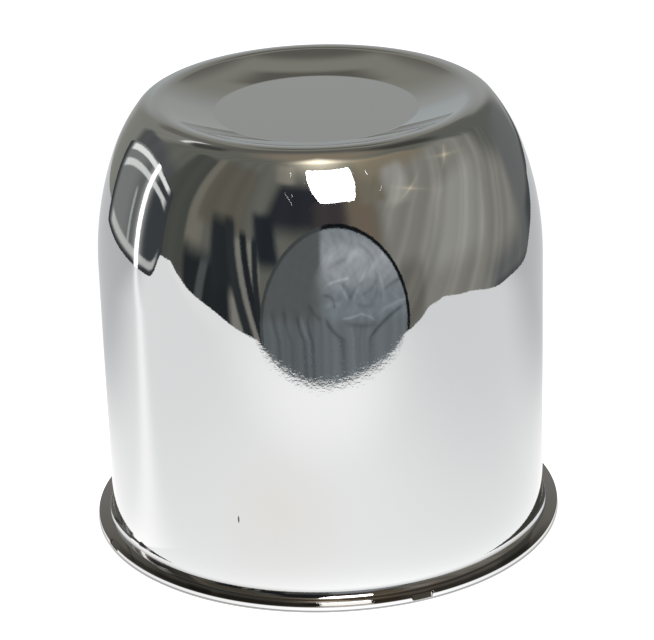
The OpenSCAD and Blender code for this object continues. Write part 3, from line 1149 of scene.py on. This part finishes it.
def panel_tone(azimuth, elevation, share):
    """Radiance of the cloth: shade on the left and light on the right, dimmer at the foot, times the painted
    light and shade of creases, dents and hanging folds, with a dark rim where the share of the way to the rim
    is nearly 1."""
    soft = EDGE_SOFT_LOW + EDGE_SOFT_MORE * smooth_step(EDGE_SOFT_FROM, EDGE_SOFT_FULL, elevation)
    lit = smooth_step(-soft, soft, azimuth)
    high = smooth_step(HIGH_FROM, HIGH_FULL, elevation)
    high = high * (1 - TOP_LOSS * smooth_step(TOP_FROM, TOP_FULL, elevation))
    bright = lay(seen_in_plate(CLOTH_LIT), CLOTH_LIT_HIGH, high)
    tone = mix(seen_in_plate(CLOTH_SHADED), bright, lit)
    tone = lay(tone, FOOT_TONE, FOOT_SHARE * smooth_step(FOOT_FROM, FOOT_FULL, elevation))
    dented = (DENTS_SHADED + (1 - DENTS_SHADED) * lit) * smooth_step(DENTS_FROM, DENTS_FULL, elevation)
    hung = HANGING_DEPTH * smooth_step(HANGING_FROM, HANGING_FULL, elevation)
    sway = HANGING_SWAY * np.sin(azimuth / SWAY_LENGTH)
    bend = HANGING_BEND * np.sin(elevation / BEND_UP + azimuth / BEND_ASIDE)
    wave = np.sin(azimuth / HANGING_WAVE + sway + bend)
    for relief in (crease_light_and_shade(azimuth, elevation), dented * dents(azimuth, elevation), hung * wave):
        tone = tone * (1 + relief)[..., None]
    return lay(tone, RIM_TONE, smooth_step(RIM_FROM, RIM_FULL, share) * (RIM_SHADED + (1 - RIM_SHADED) * lit))


def make_panel():
    """A disc in azimuth and elevation, from its middle to its rim."""
    shares = np.linspace(0, 1, PANEL_GRID[0])
    turns = np.radians(np.linspace(0, 360, PANEL_GRID[1]))
    share, turn = np.meshgrid(shares, turns, indexing="ij")
    azimuth = PANEL_MIDDLE[0] + PANEL_REACH[0] * share * np.cos(turn)
    elevation = PANEL_MIDDLE[1] + PANEL_REACH[1] * share * np.sin(turn)
    points = CARD_CENTRE + PANEL_DISTANCE * direction(azimuth, elevation)
    stage_card("round_cloth_panel", points, panel_tone(azimuth, elevation, share))


make_panel()

# %% [markdown]
# The softbox is a plain white screen above the panel, seen a little from the side. It is many times as bright
# as white, so that it is still white after the flange and the wall have mirrored it in turn.

# %% Softbox, in degrees
SOFTBOX_DISTANCE = 1400.0
SOFTBOX_GRID = (34, 24)
SOFTBOX_LOW, SOFTBOX_HIGH = 31.3, 52.3
SOFTBOX_LEFT, SOFTBOX_RIGHT = (7, -17, 1), (-5.5, 8.4, 21)
SOFTBOX_GLOW = 12.5


def make_softbox():
    """A four-sided grid whose left and right edges are parabolas over its height, from 0 at its foot to 1."""
    across, up = np.meshgrid(*(np.linspace(0, 1, count) for count in SOFTBOX_GRID), indexing="ij")
    left, right = np.polyval(SOFTBOX_LEFT, up), np.polyval(SOFTBOX_RIGHT, up)
    elevation = SOFTBOX_LOW + (SOFTBOX_HIGH - SOFTBOX_LOW) * up
    points = CARD_CENTRE + SOFTBOX_DISTANCE * direction(left + (right - left) * across, elevation)
    stage_card("square_softbox", points, np.full(points.shape, SOFTBOX_GLOW))


make_softbox()

# %% [markdown]
# On the left stands a dark board with a rounded top, pale piping round it and a narrow strip lamp before it.
# The lamp gives the wall its long upright highlight, and the board gives that highlight its contrast.

# %% Outline of the board, in degrees
BOARD_LEFT, BOARD_RIGHT = -136, -84
TOP_EL, TOP_DROP, TOP_AZ, TOP_HALF = 19.5, 13, -103.5, 31
FOOT_EL, CORNER_RISE, CORNER_FROM, CORNER_TO, CORNER_POWER = -12.4, 9, -97, -83, 3
LEAST_HEIGHT = 0.5


def board_top(azimuth):
    """Elevation of the board's rounded top, a parabola."""
    return TOP_EL - TOP_DROP * ((azimuth - TOP_AZ) / TOP_HALF) ** 2


def board_foot(azimuth):
    """Elevation of the board's foot; at its right corner it rises as a power of the soft step."""
    return FOOT_EL + CORNER_RISE * smooth_step(CORNER_FROM, CORNER_TO, azimuth) ** CORNER_POWER


print("the board is", TOP_EL - FOOT_EL, "degrees high and", BOARD_RIGHT - BOARD_LEFT, "wide")

# %% Board and strip lamp, in degrees
BOARD_DISTANCE = 285.0
BOARD_CENTRE = np.array([0.0, -10.0, 62.0])
BOARD_GRID = (157, 109)
BOARD_PALE, BOARD_DARK, DARK_FROM, DARK_FULL = "#707372", "#383B3E", -119, -98
PIPING_TONE, LOW_PIPING_TONE, EDGING_TONE = "#DADCDA", "#B9BAB8", "#323437"
OUTER_PIPING, INNER_PIPING, INNER_SHARE = (1.2, 2.8, 0.7), (6.8, 8.6, 0.8), 0.75
LOW_PIPING, LOW_SHARE = (2.0, 3.2, 0.9), 0.8
PIPING_REACH = (-129, -90, 4)
GLINT_TONE, GLINT_SHARE, GLINT_AZ, GLINT_EL = "#A8ABAA", 0.7, (-111.5, -110.5, 0.8), (-8, 2, 3)
LAMP_SPILL, SPILL_AZ, SPILL_WIDTH = 0.5, -102.6, 3.2
EDGING_LOW, EDGING_LEFT = (1.4, 0.6), (-130, -135)
STRIP_GLOW, STRIP_AZ = 1.4, (-103.8, -101.4, 0.7)


def board_tone(azimuth, elevation):
    """Radiance of the board: two arched bands of piping above, one along its foot, a glint, the lamp's spill,
    a dark edging, and the lamp's bright line."""
    below_top = board_top(azimuth) - elevation
    above_foot = elevation - board_foot(azimuth)
    beside = window(azimuth, *PIPING_REACH)
    piping = np.clip(window(below_top, *OUTER_PIPING) + INNER_SHARE * window(below_top, *INNER_PIPING), 0, 1)
    edging = np.maximum(smooth_step(*EDGING_LOW, above_foot), smooth_step(*EDGING_LEFT, azimuth))
    tone = lay(seen_in_plate(BOARD_PALE), BOARD_DARK, smooth_step(DARK_FROM, DARK_FULL, azimuth))
    tone = lay(tone, PIPING_TONE, piping * beside)
    tone = lay(tone, LOW_PIPING_TONE, LOW_SHARE * window(above_foot, *LOW_PIPING) * beside)
    tone = lay(tone, GLINT_TONE, GLINT_SHARE * window(azimuth, *GLINT_AZ) * window(elevation, *GLINT_EL))
    tone = lay(tone, PIPING_TONE, LAMP_SPILL * bell(azimuth, SPILL_AZ, SPILL_WIDTH))
    tone = lay(tone, EDGING_TONE, edging)
    return mix(tone, STRIP_GLOW * seen_in_plate("#FFFFFF"), window(azimuth, *STRIP_AZ))


def make_board():
    """A grid of azimuths, each with elevations from the board's foot to its top."""
    sides = np.linspace(BOARD_LEFT, BOARD_RIGHT, BOARD_GRID[0])
    azimuth, up = np.meshgrid(sides, np.linspace(0, 1, BOARD_GRID[1]), indexing="ij")
    foot = board_foot(azimuth)
    elevation = foot + np.maximum(board_top(azimuth) - foot, LEAST_HEIGHT) * up
    points = BOARD_CENTRE + BOARD_DISTANCE * direction(azimuth, elevation)
    stage_card("strip_lamp_board", points, board_tone(azimuth, elevation))


make_board()

# %% [markdown]
# ## Background and colour
#
# The camera sees white behind the floor, as in a catalogue. What no card covers is dark to every other ray.
# The view transform is Standard, because the tones above are meant as they are.

# %% World and view
WHITE_GLOW = 1.2
world = bpy.data.worlds.new("studio_background")
scene.world = world
world.use_nodes = True
world.node_tree.nodes.clear()
ray = add_node(world, "ShaderNodeLightPath")
white = add_node(world, "ShaderNodeBackground", {"Color": (1, 1, 1, 1), "Strength": WHITE_GLOW})
dark = add_node(world, "ShaderNodeBackground", {"Color": (*linear("#55554E"), 1), "Strength": 1.0})
either = add_node(world, "ShaderNodeMixShader", {},
                  [("Fac", ray, "Is Camera Ray"), (1, dark, "Background"), (2, white, "Background")])
add_node(world, "ShaderNodeOutputWorld", {}, [("Surface", either, "Shader")])
scene.view_settings.view_transform = "Standard"
scene.view_settings.look = "None"
print("world", world.name, "with view transform", scene.view_settings.view_transform)
